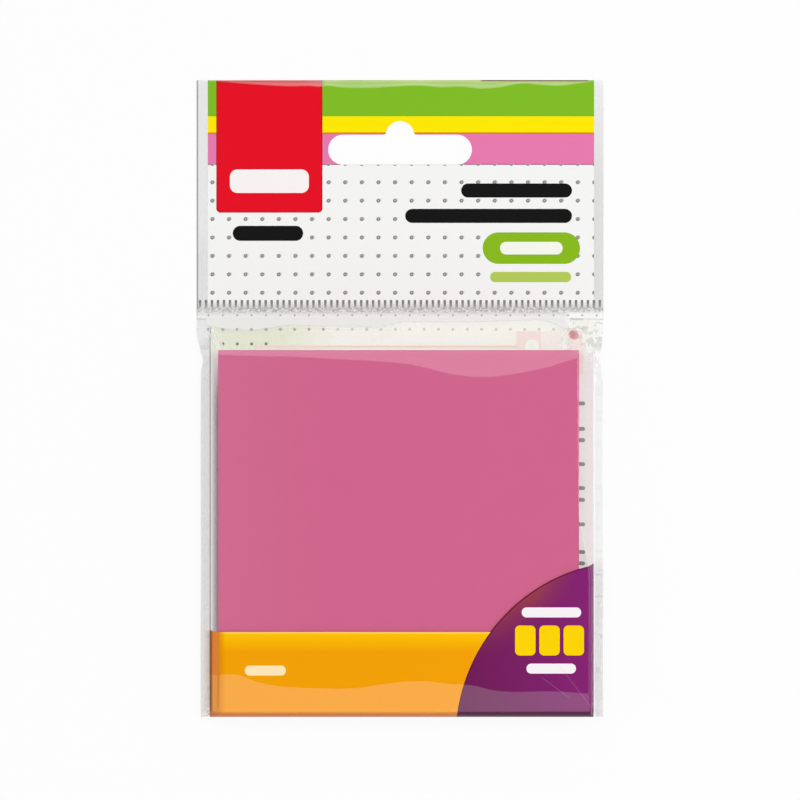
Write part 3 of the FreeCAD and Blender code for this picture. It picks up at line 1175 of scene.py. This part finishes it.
# %% Print the header
dot_pitch = (3.534, 3.917)
dot_first = (-39.96, 45.84)
dot_rings = [
    ((0.22, 0.12), 0.40, "#D5D5D3"), ((0, 0), 0.42, "#8A8A88"), ((0.02, 0.03), 0.12, "#C4C4C2"),
]
header_white = "#F6F6F4"
stripes = [
    (49.56, "#A04A80"), (49.75, "#E97BAE"), (56.2, "#D8740A"), (56.45, "#FFE900"), (59.89, "#80BD25"),
]
dots_top = 49.75
margin_left, margin_right = -40.9, 41.3
tab_left, tab_right, tab_bottom = -39.1, -16.5, 39.4
fold_top = header_high[1]
header_shapes = [
    ("#A30F1B", (tab_left, tab_bottom), (tab_right, 80.0), 0.9),
    ("#E61025", (tab_left + 0.16, tab_bottom + 0.1), (tab_right - 0.16, 80.0), 0.8),
    ("#FAF4F4", (-36.2, 43.6), (-19.4, 48.6), 1.6),
    ("#151515", (-35.6, 33.4), (-20.6, 36.6), 1.6),
    ("#151515", (13.0, 42.6), (36.6, 45.6), 1.5),
    ("#151515", (1.1, 37.2), (36.6, 40.2), 1.5),
    ("#8ABB1F", (17.6, 28.5), (38.3, 35.2), 3.34),
    ("#F6F8EE", (21.3, 30.5), (34.6, 33.2), 1.3),
    ("#B4CC5A", (19.2, 24.6), (36.4, 26.8), 1.0),
    ("#5A3420", (tab_left, fold_top - 0.42), (tab_right, fold_top - 0.2), hard_edge),
    ("#70480A", (17.2, fold_top - 0.24), (40.0, 80.0), hard_edge),
]


def header_ink(tree, place, shapes):
    """White, with each stripe from its lower edge up, the dots' rings, and a ply's own shapes."""
    colour = printed(tree, header_white, [
        (code, zone(tree, place, Y=(edge, edge + hard_edge))) for edge, code in stripes
    ])
    field = box_mask(tree, place, (margin_left - 0.2, header_low[1]), (margin_right, dots_top))
    rings = []
    for shift, radius, code in dot_rings:
        first = (dot_first[0] + shift[0], dot_first[1] + shift[1])
        rings.append((code, overlap(tree, dot_mask(tree, place, first, dot_pitch, radius), field)))
    return printed(tree, printed(tree, colour, rings), boxes(tree, place, shapes))


def header_frost(tree, place):
    """The clear margins: grey, darker low down on the left, paler high up on the right, and dark
    along the cut on the left."""
    right = box_mask(tree, place, (0.0, -far), (far, far))
    return frosted(tree, ("#D4D4D4", 0.24), [
        ("#D4D4D4", 0.32, zone(tree, place, Y=(36.0, 30.0))),
        ("#C8C8C6", 0.27, right),
        ("#C8C8C6", 0.12, overlap(tree, right, zone(tree, place, Y=(45.0, 67.0)))),
        ("#8C8C8C", 0.5, box_mask(tree, place, (-44.0, -far), (-42.95, far))),
    ])


def header_film(name, shapes):
    """One ply of the header: its print, a painted highlight at the fold, greyish on the left and yellowish
    white on the right, and painted shade round the roots of the jaws' fingers.
    """
    material, tree, place = new_material(name)
    crease_and_highlight_mark = add(tree, "ShaderNodeAttribute", attribute_name="crease_and_highlight").outputs["Fac"]
    # Painted highlight colour at the fold: grey over the red tab, yellowish white to its right.
    fold_highlight = printed(tree, "#D8BCB8", [("#FAEFC4", zone(tree, place, X=(tab_right, tab_right + 1)))])
    # Painted shade on the header round the roots of the jaws' fingers.
    painted_weld_shade = overlap(tree, zone(tree, place, Y=(root_y + 1.3, root_y + 0.1)), 0.5)
    colour = printed(tree, header_ink(tree, place, shapes), [(fold_highlight, crease_and_highlight_mark), ("#B4B4B2", painted_weld_shade)])
    inked = box_mask(tree, place, (margin_left, header_low[1] - 1), (margin_right, far))
    return finished(material, polypropylene(tree, place, header_frost(tree, place), colour, inked))


header.data.materials.append(header_film("printed_header_front", header_shapes))
header.data.materials.append(header_film("printed_header_back", []))
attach(header, "root")
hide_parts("header")
print("header_plies", len(header_shapes), "printed shapes")

# %% [markdown]
# ## Floor and light
#
# A white floor runs out of sight. The camera sees most of it as plain white, so the background
# stays white while the pack keeps a soft shadow.

# %% Lay the floor
floor_half = 1500.0
floor_z = -0.03
plain_white_share = 0.9
floor_mesh = bpy.data.meshes.new("floor")
floor_corners = np.array([(-1, -1, 0), (1, -1, 0), (1, 1, 0), (-1, 1, 0)]) * floor_half
floor_corners = (floor_corners + [0, 0, floor_z]) * METRES
floor_mesh.from_pydata(floor_corners.tolist(), [], [(0, 1, 2, 3)])
floor = bpy.data.objects.new("floor", floor_mesh)
bpy.context.scene.collection.objects.link(floor)


def white_floor():
    """Matt white, with a share of plain white for rays that look at it."""
    material, tree, _ = new_material("matt_white_board")
    board = add(tree, "ShaderNodeBsdfDiffuse", {"Color": (0.88, 0.88, 0.88, 1)})
    plain = add(tree, "ShaderNodeEmission", {"Color": (1, 1, 1, 1), "Strength": 1.0})
    rays = add(tree, "ShaderNodeLightPath").outputs
    seen = rays["Is Camera Ray"]
    for ray in ("Is Glossy Ray", "Is Transmission Ray"):
        seen = add(tree, "ShaderNodeMath", {0: seen, 1: rays[ray]}, operation="MAXIMUM")
    share = overlap(tree, seen, plain_white_share)
    return finished(material, add(tree, "ShaderNodeMixShader", {0: share, 1: board, 2: plain}))


floor.data.materials.append(white_floor())

# %% [markdown]
# Four softboxes stand round the lens like a window frame. Film that lies flat mirrors the dim
# ceiling between them and looks clear, and film that slopes mirrors a softbox and looks pale. The
# one on the right is the brightest and the one on the left is dim, so that pleats show a light
# side and a dark side.

# %% Hang the softboxes
softbox_height = 900.0
window_half = 170.0
window_outer = 600.0
box_middle = (window_half + window_outer) / 2
box_depth = window_outer - window_half


def softbox(name, middle, size, radiance):
    """A flat lamp that faces down. Its power is its radiance times pi times its area."""
    data = bpy.data.lights.new(name, "AREA")
    data.shape = "RECTANGLE"
    data.size, data.size_y = (side * METRES for side in size)
    data.energy = radiance * math.pi * data.size * data.size_y
    lamp = bpy.data.objects.new(name, data)
    lamp.location = (middle[0] * METRES, middle[1] * METRES, softbox_height * METRES)
    bpy.context.scene.collection.objects.link(lamp)


softbox("softbox_top", (0, box_middle), (2 * window_outer, box_depth), 2.35)
softbox("softbox_bottom", (0, -box_middle), (2 * window_outer, box_depth), 2.35)
softbox("softbox_left", (-box_middle, 0), (box_depth, 2 * window_half), 0.4)
softbox("softbox_right", (box_middle, 0), (box_depth, 2 * window_half), 4.6)

# %% [markdown]
# The rest of the studio is a world of pale walls and a dim ceiling. The walls fill the shadows, and
# the ceiling is what flat film mirrors.

# %% Paint the studio's walls and ceiling
wall_strength, ceiling_strength = 0.8, 0.1
world = bpy.data.worlds.new("studio")
world.use_nodes = True
tree = world.node_tree
direction = add(tree, "ShaderNodeTexCoord").outputs["Generated"]
up = add(tree, "ShaderNodeSeparateXYZ", {0: direction}).outputs["Z"]
strength = add(tree, "ShaderNodeMapRange", {
    "Value": up, "From Min": 0.35, "From Max": 0.6,
    "To Min": wall_strength, "To Max": ceiling_strength,
})
tree.links.new(strength.outputs[0], tree.nodes["Background"].inputs["Strength"])
tree.nodes["Background"].inputs["Color"].default_value = (1, 1, 1, 1)
bpy.context.scene.world = world
